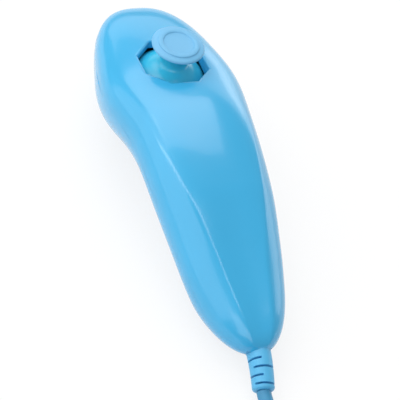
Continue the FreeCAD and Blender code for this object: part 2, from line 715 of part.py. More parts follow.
def button_membrane():
    # A rubber sheet with a dome under each button, narrower between the screws.
    low = MEMBRANE_TOP - MEMBRANE_THICKNESS
    half_width = BUTTON_BOARD_HALF_WIDTH - MEMBRANE_MARGIN
    half_height = BUTTON_BOARD_HALF_HEIGHT - MEMBRANE_MARGIN
    between_screws = BUTTON_BOARD_SCREWS[1] - SCREW_HEAD_RADIUS - SCREW_CLEARANCE
    above_screws = BUTTON_BOARD_SCREW_DOWN - SCREW_HEAD_RADIUS - SCREW_CLEARANCE
    sheet = box((-half_width, -half_height, low), (half_width, above_screws, MEMBRANE_TOP))
    tongue = box((-between_screws, -half_height, low), (between_screws, half_height, MEMBRANE_TOP))
    wide, narrow = MEMBRANE_DOME
    rise = POST_END - BUTTON_TRAVEL - POST_SPACE - MEMBRANE_TOP
    domes = [Part.makeCone(wide, narrow, rise, Vector(0, size[0], MEMBRANE_TOP), Z_AXIS)
             for size in (UPPER_BUTTON, LOWER_BUTTON)]
    return on_face(sheet.fuse([tongue] + domes).removeSplitter())


def button_board_screws():
    screws = []
    face = board_back() + BUTTON_BOARD_THICKNESS
    for x in BUTTON_BOARD_SCREWS:
        start = Vector(x, BUTTON_BOARD_SCREW_DOWN, face + SCREW_HEAD_HEIGHT)
        screws.append(on_face(screw(start, -Z_AXIS, BOARD_SCREW_LENGTH)))
    return Part.makeCompound(screws)


# Main board and what is on it.

def on_board(size, place):
    length, width, height = size
    low = (place[0] - length / 2, place[1] - width / 2, BOARD_TOP)
    return box(low, (low[0] + length, low[1] + width, BOARD_TOP + height))


def main_board():
    board = box((-BOARD_HALF_WIDTH, BOARD_BACK, BOARD_BOTTOM), (BOARD_HALF_WIDTH, BOARD_FRONT, BOARD_TOP))
    for place in BOARD_SCREWS:
        board = board.cut(boss_hole(place, 0, FAR, SCREW_RADIUS + SCREW_CLEARANCE))
    return board


def main_board_screws():
    start = BOARD_TOP + SCREW_HEAD_HEIGHT
    screws = [screw(Vector(*place, start), -Z_AXIS, BOARD_SCREW_LENGTH) for place in BOARD_SCREWS]
    return Part.makeCompound(screws)


def capacitors():
    top = BOARD_TOP + CAPACITOR_HEIGHT
    return Part.makeCompound([rod(CAPACITOR_RADIUS, (*place, BOARD_TOP), (*place, top))
                              for place in CAPACITOR_PLACES])


def cable_socket():
    return on_board(SOCKET_SIZE, (0, SOCKET_BACK + SOCKET_SIZE[1] / 2))


def lead_plug():
    return on_board(LEAD_PLUG_SIZE, (0, SOCKET_BACK - LEAD_PLUG_SIZE[1] / 2))


def flat_lead(points, middle):
    # A flat strip whose lower face follows the points.
    solid = None
    half = FLEX_WIDTH / 2
    for (back0, z0), (back1, z1) in zip(points, points[1:]):
        low = [(back0, z0), (back1, z1), (back1, z1 + FLEX_THICKNESS), (back0, z0 + FLEX_THICKNESS)]
        corners = [Vector(middle - half, NOSE - back, z) for back, z in low + low[:1]]
        piece = Part.Face(Part.makePolygon(corners)).extrude(Vector(FLEX_WIDTH, 0, 0))
        solid = piece if solid is None else solid.fuse(piece)
    return solid.removeSplitter()


# Cord, its strain relief and the leads inside.

def route(points, name):
    # Straight runs joined by arcs as large as the runs allow.
    edges = []
    start = points[0]
    for before, corner, after in zip(points, points[1:], points[2:]):
        arrive, leave = corner - before, after - corner
        shorter = min(arrive.Length, leave.Length)
        cut = CORNER_SHARE * shorter
        turn = arrive.getAngle(leave)
        arc_start = corner - arrive.normalize() * cut
        arc_end = corner + leave.normalize() * cut
        radius = cut / math.tan(turn / 2)
        inward = (leave - arrive).normalize()
        middle = corner + inward * (radius / math.cos(turn / 2) - radius)
        print(name, "arc radius", round(radius, 1))
        edges.append(Part.makeLine(start, arc_start))
        edges.append(Part.Arc(arc_start, middle, arc_end).toShape())
        start = arc_end
    edges.append(Part.makeLine(start, points[-1]))
    return Part.Wire(edges)


def tube(points, radius, name):
    path = route(points, name)
    profile = Part.Wire(Part.makeCircle(radius, points[0], points[1] - points[0]))
    solid = path.makePipeShell([profile], True, False)
    expected = math.pi * radius ** 2 * path.Length
    print(name, "length", round(path.Length, 1), "volume share", round(solid.Volume / expected, 4))
    return solid


def arc_through(start, tangent, end):
    chord = end - start
    along = chord.normalize()
    length = start.distanceToPoint(end)
    side = tangent - along * tangent.dot(along)
    if side.Length < STRAIGHT_ENOUGH:
        return Part.makeLine(start, end)
    half = tangent.getAngle(along) / 2
    middle = start + along * (length / 2) + side.normalize() * (length / 2 * math.tan(half))
    return Part.Arc(start, middle, end).toShape()


def biarc(start, leave, end, arrive):
    # Two arcs that meet smoothly, from start to end with the given headings.
    gap = end - start
    both = leave + arrive
    spread = 2 * (1 - leave.dot(arrive))
    across = gap.dot(both)
    reach = (math.sqrt(across ** 2 + spread * gap.dot(gap)) - across) / spread
    joint = (start + end + (leave - arrive) * reach) * 0.5
    return [arc_through(start, leave, joint), arc_through(end, arrive * -1, joint)]


def coil_point(turns):
    # Place on the coil's line, turning clockwise seen from above.
    climb_start = COIL_TURNS_IN
    climb_end = COIL_TURNS_IN + COIL_CLIMB_TURNS
    climb_middle = (climb_start + climb_end) / 2
    inward = min(turns, climb_middle) - max(turns - climb_middle, 0)
    radius = COIL_OUTER_RADIUS - COIL_PITCH * inward
    share = min(max((turns - climb_start) / COIL_CLIMB_TURNS, 0), 1)
    height = COIL_BASE + COIL_LAYER_RISE * share * share * (3 - 2 * share)
    angle = FULL_TURN * (COIL_START_TURN - turns)
    return Vector(COIL_CENTRE[0] + radius * math.cos(angle),
                  COIL_CENTRE[1] + radius * math.sin(angle), height)


def coil_heading(turns):
    ahead = min(turns + HEADING_STEP, coil_turns())
    behind = max(turns - HEADING_STEP, 0)
    return (coil_point(ahead) - coil_point(behind)).normalize()


def coil_turns():
    return COIL_TURNS_IN + COIL_CLIMB_TURNS + COIL_TURNS_OUT


def coil_wire():
    (lead_start, first), (lead_end, last) = coil_ends()
    steps = math.ceil(coil_turns() * COIL_EDGES_PER_TURN)
    edges = [Part.makeLine(lead_start, coil_point(0))]
    for k in range(steps):
        a, b = coil_turns() * k / steps, coil_turns() * (k + 1) / steps
        edges += biarc(coil_point(a), coil_heading(a), coil_point(b), coil_heading(b))
    edges.append(Part.makeLine(coil_point(coil_turns()), lead_end))
    return Part.Wire(Part.__sortEdges__(edges))


def coil_ends():
    first, last = coil_heading(0), coil_heading(coil_turns())
    start = coil_point(0) - first * COIL_LEAD
    end = coil_point(coil_turns()) + last * COIL_LEAD
    return (start, first), (end, last)


def print_coil_gap():
    # Least gap between stretches that lie more than half a turn apart.
    steps = COIL_GAP_STEPS
    points = [coil_point(k / steps) for k in range(int(coil_turns() * steps) + 1)]
    nearest = min(a.distanceToPoint(b) for i, a in enumerate(points) for b in points[i + steps // 2:])
    print("coil least gap", round(nearest - 2 * CORD_RADIUS, 2))


def cord_coil():
    path = coil_wire()
    (start, heading), end = coil_ends()
    profile = Part.Wire(Part.makeCircle(CORD_RADIUS, start, heading))
    solid = path.makePipeShell([profile], True, False)
    expected = math.pi * CORD_RADIUS ** 2 * path.Length
    print("coil length", round(path.Length, 1), "volume share", round(solid.Volume / expected, 4))
    return solid


def relief_heading():
    drop, swing = math.radians(RELIEF_DROP), math.radians(RELIEF_SWING)
    return Vector(-math.sin(swing) * math.cos(drop), -math.cos(swing) * math.cos(drop), -math.sin(drop))


def relief_knee():
    return Vector(0, RELIEF_KNEE, RELIEF_HEIGHT)


def relief_end():
    return relief_knee() + relief_heading() * RELIEF_LENGTH


def strain_relief():
    heading = relief_heading()
    knee = relief_knee()
    tail = Part.makeCone(RELIEF_START_RADIUS, RELIEF_END_RADIUS, RELIEF_LENGTH, knee, heading)
    neck = rod(RELIEF_START_RADIUS, tuple(knee), (0, RELIEF_NECK_BACK, RELIEF_HEIGHT))
    ball = Part.makeSphere(RELIEF_START_RADIUS, knee)
    flange = rod(RELIEF_FLANGE_RADIUS, (0, RELIEF_NECK_BACK - RELIEF_FLANGE_THICKNESS, RELIEF_HEIGHT),
                 (0, RELIEF_NECK_BACK, RELIEF_HEIGHT))
    flange = flange.common(form(WALL + RELIEF_HOLE_GAP, ruled=True))
    relief = neck.fuse([ball, tail, flange])
    turn = Rotation(Z_AXIS, heading)
    for distance, side in RELIEF_SLOTS:
        middle = knee + heading * distance
        block = Part.makeBox(FAR, 8 * RELIEF_CORE, RELIEF_SLOT_WIDTH, Vector(0, -4 * RELIEF_CORE, 0))
        core = Part.makeCylinder(RELIEF_CORE, RELIEF_SLOT_WIDTH)
        block = block.cut(core)
        if side < 0:
            block.rotate(Vector(), Z_AXIS, 180)
        block.Placement = Placement(middle, turn).multiply(block.Placement)
        relief = relief.cut(block)
    return relief.removeSplitter()


def free_cord():
    (coil_start, heading), end = coil_ends()
    points = [relief_end()] + [Vector(*p) for p in CORD_POINTS] + [coil_start]
    return tube(points, CORD_RADIUS, "cord")


def cord_end():
    start, (coil_end, heading) = coil_ends()
    points = [coil_end] + [Vector(*p) for p in CORD_END_POINTS] + [Vector(*PLUG_START)]
    return tube(points, CORD_RADIUS, "cord end")


def inner_leads():
    solids = []
    height = BOARD_TOP + LEAD_PLUG_SIZE[2] / 2
    plug_back = SOCKET_BACK - LEAD_PLUG_SIZE[1]
    for start, aside, end in zip(LEAD_STARTS, LEAD_PASSES, LEAD_ENDS):
        points = [Vector(start, RELIEF_NECK_BACK, RELIEF_HEIGHT),
                  Vector(start, RELIEF_NECK_BACK + LEAD_STRAIGHT, RELIEF_HEIGHT),
                  Vector(aside, *LEAD_PASS_BACK),
                  Vector(aside, *LEAD_PASS_FRONT),
                  Vector(end, plug_back - LEAD_STRAIGHT, height),
                  Vector(end, plug_back, height)]
        solids.append(tube(points, LEAD_RADIUS, "lead"))
    return Part.makeCompound(solids)


# Plug.

def on_plug(shape):
    heading = Vector(*PLUG_HEADING)
    turn = Rotation(heading, Z_AXIS.cross(heading), Z_AXIS, "XYZ")
    placed = shape.copy()
    placed.Placement = Placement(Vector(*PLUG_START), turn).multiply(placed.Placement)
    return placed


def plug_housing():
    body = box((PLUG_BODY_START, -PLUG_HALF_WIDTH, -PLUG_HALF_HEIGHT),
               (PLUG_BODY_START + PLUG_BODY_LENGTH, PLUG_HALF_WIDTH, PLUG_HALF_HEIGHT))
    lengthwise = [e for e in body.Edges if abs(e.tangentAt(e.FirstParameter).x) > 0.9]
    body = body.makeFillet(PLUG_CORNER, lengthwise)
    boot_end = CORD_RADIUS + PLUG_BOOT_OVER_CORD
    boot = Part.makeCone(boot_end, PLUG_BOOT_RADIUS, PLUG_BODY_START, Vector(), X_AXIS)
    body = body.fuse(boot)
    for side in (-1, 1):
        depth = RELEASE_DEPTH - RELEASE_PROUD + RELEASE_TRAVEL + RELEASE_GAP
        ys = sorted((side * (PLUG_HALF_WIDTH - depth), side * FAR))
        half = RELEASE_HALF_HEIGHT + RELEASE_GAP
        pocket = box((RELEASE_START - RELEASE_GAP, ys[0], -half),
                     (RELEASE_START + RELEASE_LENGTH + RELEASE_GAP, ys[1], half))
        ys = sorted((side * (PLUG_HALF_WIDTH - depth), side * (PLUG_HALF_WIDTH - RELEASE_SKIN)))
        half = RELEASE_HOOK_HALF_HEIGHT + RELEASE_GAP
        tunnel = box((RELEASE_START, ys[0], -half), (FAR, ys[1], half))
        body = body.cut(pocket).cut(tunnel)
    return on_plug(body.removeSplitter())


def plug_nose():
    start = PLUG_BODY_START + PLUG_BODY_LENGTH
    nose = box((start, -PLUG_NOSE_HALF_WIDTH, -PLUG_NOSE_HALF_HEIGHT),
               (start + PLUG_NOSE_LENGTH, PLUG_NOSE_HALF_WIDTH, PLUG_NOSE_HALF_HEIGHT))
    tip = [e for e in nose.Edges if e.BoundBox.XMin > start + PLUG_NOSE_LENGTH / 2]
    nose = nose.makeChamfer(PLUG_TIP_CHAMFER, tip)
    for row in contact_rows():
        nose = nose.cut(row)
    return on_plug(nose)


def contact_rows():
    start = PLUG_BODY_START + PLUG_BODY_LENGTH
    rows = []
    for k in range(CONTACT_COUNT):
        middle = (k - (CONTACT_COUNT - 1) / 2) * CONTACT_PITCH
        rows.append(box((start, middle - CONTACT_WIDTH / 2, PLUG_NOSE_HALF_HEIGHT - CONTACT_DEPTH),
                        (start + CONTACT_LENGTH, middle + CONTACT_WIDTH / 2, PLUG_NOSE_HALF_HEIGHT)))
    return rows


def plug_release(side):
    inner = PLUG_HALF_WIDTH + RELEASE_PROUD - RELEASE_DEPTH
    ys = sorted((side * inner, side * (PLUG_HALF_WIDTH + RELEASE_PROUD)))
    end = RELEASE_START + RELEASE_LENGTH
    pad = box((RELEASE_START, ys[0], -RELEASE_HALF_HEIGHT), (end, ys[1], RELEASE_HALF_HEIGHT))
    front = PLUG_BODY_START + PLUG_BODY_LENGTH + RELEASE_HOOK_LENGTH
    half = RELEASE_HOOK_HALF_HEIGHT
    ys = sorted((side * inner, side * (inner + RELEASE_HOOK_THICKNESS)))
    arm = box((end, ys[0], -half), (front, ys[1], half))
    ys = sorted((side * inner, side * (inner + 2 * RELEASE_HOOK_THICKNESS)))
    hook = box((front - RELEASE_HOOK_REACH, ys[0], -half), (front, ys[1], half))
    return on_plug(pad.fuse([arm, hook]).removeSplitter())


# Everything together.

def main():
    upper, lower = shells()
    export("upper_shell", upper)
    export("lower_shell", lower)
    export("shell_screws", shell_screws())
    bezel, upper_button, lower_button = finger_parts()
    export("button_bezel", bezel)
    export("upper_button", upper_button)
    export("lower_button", lower_button)
    export("button_membrane", button_membrane())
    export("button_board", button_board())
    export("button_board_screws", button_board_screws())
    export("stick_cap", stick_cap())
    export("stick_stem", stick_stem())
    export("stick_shaft", stick_shaft())
    export("stick_rocker", stick_rocker())
    export("stick_bail", stick_bail())
    export("stick_frame", stick_frame())
    export("spring_plate", spring_plate())
    export("centring_spring", centring_spring())
    export("side_potentiometer", pot(0))
    export("rear_potentiometer", pot(-90))
    export("stick_screws", stick_screws())
    export("main_board", main_board())
    export("main_board_screws", main_board_screws())
    export("controller_chip", on_board(CHIP_SIZE, CHIP_PLACE))
    export("motion_sensor", on_board(SENSOR_SIZE, SENSOR_PLACE))
    export("capacitors", capacitors())
    export("cable_socket", cable_socket())
    export("lead_plug", lead_plug())
    export("inner_leads", inner_leads())
    export("stick_flex", flat_lead(STICK_FLEX_POINTS, STICK_FLEX_MIDDLE))
    export("button_flex", flat_lead(BUTTON_FLEX_POINTS, BUTTON_FLEX_MIDDLE))
    export("strain_relief", strain_relief())
    export("cord", free_cord())
    export("cord_coil", cord_coil())
    export("cord_end", cord_end())
    export("plug_housing", plug_housing())
    export("plug_nose", plug_nose())
    export("plug_contacts", on_plug(Part.makeCompound(contact_rows())))
    export("left_release", plug_release(1))
    export("right_release", plug_release(-1))
    print_coil_gap()


main()
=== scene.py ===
import json
import math

import bmesh
import bpy
from mathutils import Matrix, Quaternion, Vector

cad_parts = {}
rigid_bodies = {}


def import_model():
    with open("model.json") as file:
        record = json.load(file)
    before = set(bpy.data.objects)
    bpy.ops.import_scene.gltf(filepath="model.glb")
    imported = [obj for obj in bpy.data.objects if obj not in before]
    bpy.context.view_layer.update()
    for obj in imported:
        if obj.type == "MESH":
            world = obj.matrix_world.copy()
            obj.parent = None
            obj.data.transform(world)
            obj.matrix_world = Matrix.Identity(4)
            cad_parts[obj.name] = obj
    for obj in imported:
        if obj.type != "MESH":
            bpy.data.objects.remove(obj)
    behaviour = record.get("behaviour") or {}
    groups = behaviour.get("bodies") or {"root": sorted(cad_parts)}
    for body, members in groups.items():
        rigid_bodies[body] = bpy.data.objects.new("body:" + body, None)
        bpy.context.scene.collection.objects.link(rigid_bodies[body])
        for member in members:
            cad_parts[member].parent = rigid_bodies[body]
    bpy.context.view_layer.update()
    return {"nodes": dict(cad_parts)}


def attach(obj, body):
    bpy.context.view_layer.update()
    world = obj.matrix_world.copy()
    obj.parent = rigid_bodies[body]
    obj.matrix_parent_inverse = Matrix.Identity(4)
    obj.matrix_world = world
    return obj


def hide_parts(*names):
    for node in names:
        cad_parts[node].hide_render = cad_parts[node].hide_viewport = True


# One-handed motion game controller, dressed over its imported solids.
# The controller's lengths are in millimetres, and MM turns them into metres.
# Places and sizes of the camera, the lamps and the floor are in metres.

MM = 0.001

# Camera, at the photograph's viewing angle. Its lens and sensor are in millimetres.
CAMERA_PLACE = Vector((-0.2114, -0.3393, 0.3957))
CAMERA_TARGET = Vector((0.0002, -0.0071, 0.0117))
CAMERA_ROLL = math.radians(18.25)
CAMERA_LENS = 187.9
CAMERA_SENSOR = 36.0
CAMERA_CLIP = (0.01, 20.0)

# Upper shell: the stations along the body are its solid's, from 0 at the tail to 1 at the nose.
# Its edge dips below the seam's middle, so the seam is finer than the one between the solids.
BODY_LENGTH = 113.0
NOSE = BODY_LENGTH / 2
TAIL = -NOSE
STATION_SHARES = (0.0, 0.14, 0.36, 0.56, 0.70, 0.84, 1.0)
HALF_WIDTHS = (11.6, 12.6, 15.7, 17.3, 19.1, 17.4, 16.4)
RISES = (7.9, 8.1, 9.3, 9.7, 9.4, 9.0, 7.9)
SEAM_HEIGHTS = (8.6, 10.5, 18.4, 22.3, 21.4, 20.4, 20.4)
TAIL_ROUNDING = 26.6
NOSE_ROUNDING = 30.1
TAIL_FULLNESS = 2.2
NOSE_FULLNESS = 2.4
TOP_FULLNESS = 2.6
TIP_FLAT = 0.03
WALL = 1.9
SEAM_EDGE = -0.05
SHELL_STATIONS = 140
SHELL_STEPS = 144

# Creases on the shell: they lie where the solid's do, but stand higher and are rounded over.
# The limit is the largest share of the half width at which a crease may run.
CREASE_SHARES = (0.0, 0.06, 0.15, 0.25, 0.36, 0.50, 0.62)
CREASE_HALF_WIDTHS = (2.8, 4.2, 5.8, 8.1, 10.9, 13.9, 15.5)
CREASE_RIDGES = (0.40, 0.60, 0.75, 0.75, 0.65, 0.38, 0.0)
CREASE_ROUNDING = 0.7
CREASE_LIMIT = 0.9

# Stick gate: each row of its rim is a distance out from the wall and one down from the shell.
# Its ring and the shell are two closed bodies in one mesh, and they overlap under the rim.
GATE_CENTRE = 26.7
GATE_SIDES = 8
GATE_SIDE_STEPS = 8
GATE_CORNER_RADIUS = 9.7
GATE_RIM = ((0.8, 0.0), (0.5, 0.04), (0.25, 0.16), (0.08, 0.36), (0.0, 0.62))
GATE_RIM_REACH = GATE_RIM[0][0]
GATE_WALL = 1.3
GATE_UNDER = 1.2
GATE_LOW = 26.8
GATE_CUT_HEIGHTS = (GATE_LOW - WALL, 2 * GATE_LOW)

# Stick: each point is a distance from its axis and a height above its pivot.
PIVOT = Vector((0.0, 26.7, 17.5))
DOME_RADIUS = 12.5
DOME_THICKNESS = 1.0
DOME_RIM_ANGLE = 60.0
DOME_NECK_ANGLE = 20.0
DOME_STEPS = 12
STEM_BORE = 1.95
STEM_HUB = ((STEM_BORE, 8.7), (3.2, 8.7), (3.2, 10.9))
STEM_FLARE = ((3.85, 12.0), (3.5, 12.4), (3.3, 13.0), (3.25, 13.8), (3.35, 14.6), (3.6, 15.3),
              (4.0, 15.9), (4.3, 16.3), (STEM_BORE, 16.3))
CAP_PROFILE = ((0.0, 19.05), (2.0, 19.06), (3.6, 19.11), (4.05, 19.16), (4.18, 19.38), (4.4, 19.5),
               (5.4, 19.5), (5.6, 19.4), (5.68, 19.14), (5.85, 19.06), (6.5, 18.94), (6.9, 18.82),
               (7.13, 18.62), (7.2, 18.36), (7.12, 18.1), (6.8, 17.9), (5.5, 17.45), (4.8, 16.95),
               (4.3, 16.35), (0.0, 16.35))
LATHE_STEPS = 96

# Strain relief: a rubber tube with slits from both sides by turns, and a neck inside the tail.
# A slit is the distance of its middle from the cord's end, and the angle that it is centred on.
RELIEF_END = (-1.3, -65.2, 4.0)
RELIEF_ROUTE = ((0.3, -53.0, 7.2), (0.4, -56.6, 7.2), RELIEF_END)
RELIEF_RADIUS = 3.2
RELIEF_END_RADIUS = 2.85
RELIEF_CORE = 1.5
RELIEF_LIP = 0.8
RELIEF_LIP_STOPS = (0.0, 0.05, 0.2, 0.45, RELIEF_LIP)
RELIEF_SLIT = 0.55
RELIEF_SLITS = ((1.4, 53.0), (3.5, -127.0), (5.7, 53.0), (7.9, -127.0))
RELIEF_SLIT_REACH = 113.0
RELIEF_SLIT_EDGE = 0.01
RELIEF_INNER_STOPS = (9.6, 10.2)
RELIEF_LINE_STEPS = 60
RELIEF_STEPS = 72
NECK_RADIUS = 3.36
NECK_HEIGHT = 7.9
NECK_ENDS = (-54.9, -50.0)

# Cord: the route's points repeat those of the solid. Only its length is in metres.
CORD_RADIUS = 1.85
CORD_POINTS = ((-1.53, -70.47, 1.98), (2.11, -78.5, 1.95))
CORD_SMOOTHNESS = 8
CORD_ORDER = 3
COIL_CENTRE = (-13.0, -103.5)
COIL_OUTER_RADIUS = 28.2
COIL_PITCH = 4.2
COIL_LAYER_RISE = 4.2
COIL_BASE = 1.95
COIL_START_TURN = 0.125
COIL_TURNS_IN = 3.25
COIL_TURNS_OUT = 3.375
COIL_CLIMB_TURNS = 0.5
COIL_POINTS_PER_TURN = 16
CORD_END_POINTS = ((15.91, -111.5, 6.15), (12.2, -118.6, 10.0), (5.6, -121.6, 14.05))
PLUG_START = (-1.2, -121.6, 14.05)

# Smooth shading keeps an edge crisp where its faces meet at more than this many degrees.
SHARP_ANGLE = 30.0
STICK_SHARP_ANGLE = 40.0

# Colours, as linear red, green and blue.
SHELL_BLUE = (0.045, 0.400, 0.700)
STICK_BLUE = (0.150, 0.450, 0.720)
# The stem and dome are the cap's plastic, painted a more saturated teal: painted bounce light
# between cap and dome.
DOME_BOUNCE_PAINTED_BLUE = (0.040, 0.510, 0.730)
# The gate's wall is the shell's plastic, painted a brighter teal: painted bounce light in its
# recess.
GATE_BOUNCE_PAINTED_BLUE = (0.025, 0.470, 0.680)
RELIEF_BLUE = (0.085, 0.430, 0.720)
CORD_BLUE = (0.050, 0.270, 0.470)
FLOOR_WHITE = (0.93, 0.93, 0.93)
RUBBER_GREY = (0.60, 0.61, 0.60)
NYLON_WHITE = (0.72, 0.72, 0.70)
HOUSING_BLACK = (0.012, 0.012, 0.014)
BOARD_GREEN = (0.010, 0.090, 0.035)
FILM_AMBER = (0.50, 0.20, 0.03)
STEEL_GREY = (0.52, 0.53, 0.55)
CONTACT_GOLD = (0.75, 0.50, 0.16)

# What all finishes share. Scales of noise are in cells per metre.
COLOUR_SPREAD = 0.05
DRIFT_SCALE = 45.0
DRIFT_DETAIL = 3.0
DRIFT_ENDS = (0.35, 0.65)
WEAR_SCALE = 350.0
WEAR_DETAIL = 4.0
WEAR_SHARES = (0.85, 1.20)
GRAIN_DETAIL = 2.0
GRAIN_DEPTH = 0.02
COAT_ROUGHNESS = 0.06

# Finishes: grain is the scale of the fine texture, and bump its strength.
FINISHES = {
    "shell": dict(name="shell_gloss", colour=SHELL_BLUE, roughness=0.20, grain=900.0, bump=0.08,
                  spread=0.02, coat=0.3),
    "stick": dict(name="stick_satin", colour=STICK_BLUE, roughness=0.48, grain=5000.0, bump=0.35),
    # The dome's finish carries painted bounce light in its colour.
    "dome": dict(name="dome_painted_bounce_gloss", colour=DOME_BOUNCE_PAINTED_BLUE, roughness=0.24, grain=2500.0, bump=0.15),
    # The gate's finish carries painted bounce light in its colour.
    "gate": dict(name="gate_painted_bounce_gloss", colour=GATE_BOUNCE_PAINTED_BLUE, roughness=0.26, grain=900.0, bump=0.08,
                 spread=0.02),
    "relief": dict(name="relief_rubber", colour=RELIEF_BLUE, roughness=0.42, grain=3500.0,
                   bump=0.35),
    "cord": dict(name="cord_rubber", colour=CORD_BLUE, roughness=0.45, grain=3500.0, bump=0.35),
    "rubber": dict(name="grey_rubber", colour=RUBBER_GREY, roughness=0.60, grain=3000.0,
                   bump=0.40),
    "nylon": dict(name="white_nylon", colour=NYLON_WHITE, roughness=0.40, grain=2500.0, bump=0.20),
    "black": dict(name="black_housing", colour=HOUSING_BLACK, roughness=0.45, grain=3000.0,
                  bump=0.40),
    "board": dict(name="board_lacquer", colour=BOARD_GREEN, roughness=0.30, grain=1500.0,
                  bump=0.20),
    "film": dict(name="amber_film", colour=FILM_AMBER, roughness=0.25, grain=1000.0, bump=0.10),
    "steel": dict(name="bright_steel", colour=STEEL_GREY, roughness=0.28, grain=2500.0, bump=0.20,
                  metallic=1.0),
    "contact": dict(name="contact_gold", colour=CONTACT_GOLD, roughness=0.25, grain=2500.0,
                    bump=0.10, metallic=1.0),
}

NODES_BY_FINISH = {
    "shell": ("upper_shell", "lower_shell", "button_bezel", "upper_button", "lower_button",
              "plug_housing", "left_release", "right_release"),
    "stick": ("stick_cap",),
    "dome": ("stick_stem",),
    "relief": ("strain_relief",),
    "rubber": ("button_membrane", "inner_leads"),
    "nylon": ("stick_shaft", "stick_rocker", "stick_bail", "spring_plate", "cable_socket",
              "lead_plug", "plug_nose"),
    "black": ("stick_frame", "side_potentiometer", "rear_potentiometer", "controller_chip",
              "motion_sensor", "capacitors"),
    "board": ("main_board", "button_board"),
    "film": ("stick_flex", "button_flex"),
    "steel": ("shell_screws", "stick_screws", "main_board_screws", "button_board_screws",
              "centring_spring"),
    "contact": ("plug_contacts",),
}

# Floor: the glow is how much of what the camera and reflections see of it is an even white.
FLOOR_SIZE = 6.0
FLOOR_ROUGHNESS = 0.9
FLOOR_SPECULAR = 0.1
FLOOR_GLOW = 0.80
FLOOR_GLOW_RAYS = ("Is Camera Ray", "Is Glossy Ray", "Is Transmission Ray")

# Light: rectangular lamps, their power in watts, and the direction along which a long one lies.
WORLD_STRENGTH = 0.30
LIGHT_AIM = Vector((0.0, 0.0, 0.02))
UPRIGHT = (0, 0, 1)
LAMPS = {
    "key": dict(place=(0.06, 0.57, 0.84), size=(0.87, 0.64), power=4.2),
    "strip": dict(place=(-0.25, 0.09, 0.96), size=(0.12, 1.30), power=1.9,
                  along=(0.80, -0.50, 0.25)),
    "left": dict(place=(-0.80, 0.22, 0.56), size=(1.30, 1.15), power=5.7),
    "right": dict(place=(0.88, 0.43, 0.17), size=(1.00, 0.30), power=1.5),
    "back": dict(place=(0.38, 0.95, 0.36), size=(1.40, 0.36), power=1.7),
    "front": dict(place=(-0.35, -0.85, 0.85), size=(1.20, 0.80), power=5.0),
}


# Materials.

def node_input(node, name, value):
    node.inputs[name].default_value = value


def speckled(tree, scale, detail):
    # Noise fixed to the piece itself, so that it moves with it.
    place = tree.nodes.new("ShaderNodeTexCoord")
    noise = tree.nodes.new("ShaderNodeTexNoise")
    node_input(noise, "Scale", scale)
    node_input(noise, "Detail", detail)
    tree.links.new(place.outputs["Object"], noise.inputs["Vector"])
    return noise.outputs["Fac"]


def drift_colour(tree, shader, colour, spread):
    # The colour wanders between a slightly darker and a slightly lighter tone.
    drift = speckled(tree, DRIFT_SCALE, DRIFT_DETAIL)
    ramp = tree.nodes.new("ShaderNodeValToRGB")
    tones = (1 - spread, 1 + spread)
    for stop, place, tone in zip(ramp.color_ramp.elements, DRIFT_ENDS, tones):
        stop.position = place
        stop.color = (*(min(c * tone, 1.0) for c in colour), 1)
    tree.links.new(drift, ramp.inputs["Fac"])
    tree.links.new(ramp.outputs["Color"], shader.inputs["Base Color"])


def vary_gloss(tree, shader, roughness):
    # Handling has left some patches glossier than others.
    wear = speckled(tree, WEAR_SCALE, WEAR_DETAIL)
    gloss = tree.nodes.new("ShaderNodeMapRange")
    node_input(gloss, "To Min", roughness * WEAR_SHARES[0])
    node_input(gloss, "To Max", roughness * WEAR_SHARES[1])
    tree.links.new(wear, gloss.inputs["Value"])
    tree.links.new(gloss.outputs["Result"], shader.inputs["Roughness"])


def add_grain(tree, shader, grain, bump):
    fine = speckled(tree, grain, GRAIN_DETAIL)
    relief = tree.nodes.new("ShaderNodeBump")
    node_input(relief, "Strength", bump)
    node_input(relief, "Distance", GRAIN_DEPTH * MM)
    tree.links.new(fine, relief.inputs["Height"])
    tree.links.new(relief.outputs["Normal"], shader.inputs["Normal"])


def moulded(name, colour, roughness, grain, bump, spread=COLOUR_SPREAD, metallic=0.0, coat=0.0):
    # Moulded or drawn surface: slight colour drift, uneven gloss and a fine grain.
    material = bpy.data.materials.new(name)
    material.use_nodes = True
    tree = material.node_tree
    shader = tree.nodes["Principled BSDF"]
    node_input(shader, "Metallic", metallic)
    node_input(shader, "Coat Weight", coat)
    node_input(shader, "Coat Roughness", COAT_ROUGHNESS)
    drift_colour(tree, shader, colour, spread)
    vary_gloss(tree, shader, roughness)
    add_grain(tree, shader, grain, bump)
    return material


def make_materials():
    return {key: moulded(**finish) for key, finish in FINISHES.items()}


def paint(piece, material):
    piece.data.materials.clear()
    piece.data.materials.append(material)


def paint_nodes(nodes, materials):
    for key, names in NODES_BY_FINISH.items():
        for name in names:
            paint(nodes[name], materials[key])


# Meshes.

def new_piece(name, points, faces):
    # A mesh of points in millimetres, its faces turned outward.
    mesh = bpy.data.meshes.new(name)
    mesh.from_pydata([Vector(point) * MM for point in points], [], faces)
    piece = bpy.data.objects.new(name, mesh)
    bpy.context.scene.collection.objects.link(piece)
    build = bmesh.new()
    build.from_mesh(mesh)
    bmesh.ops.recalc_face_normals(build, faces=build.faces[:])
    build.to_mesh(mesh)
    build.free()
    return piece


def shade(piece, sharp_angle=SHARP_ANGLE):
    # Smooth shading, with edges sharper than the angle kept crisp.
    build = bmesh.new()
    build.from_mesh(piece.data)
    limit = math.radians(sharp_angle)
    for face in build.faces:
        face.smooth = True
    for edge in build.edges:
        edge.smooth = len(edge.link_faces) == 2 and edge.calc_face_angle(0.0) < limit
    build.to_mesh(piece.data)
    build.free()


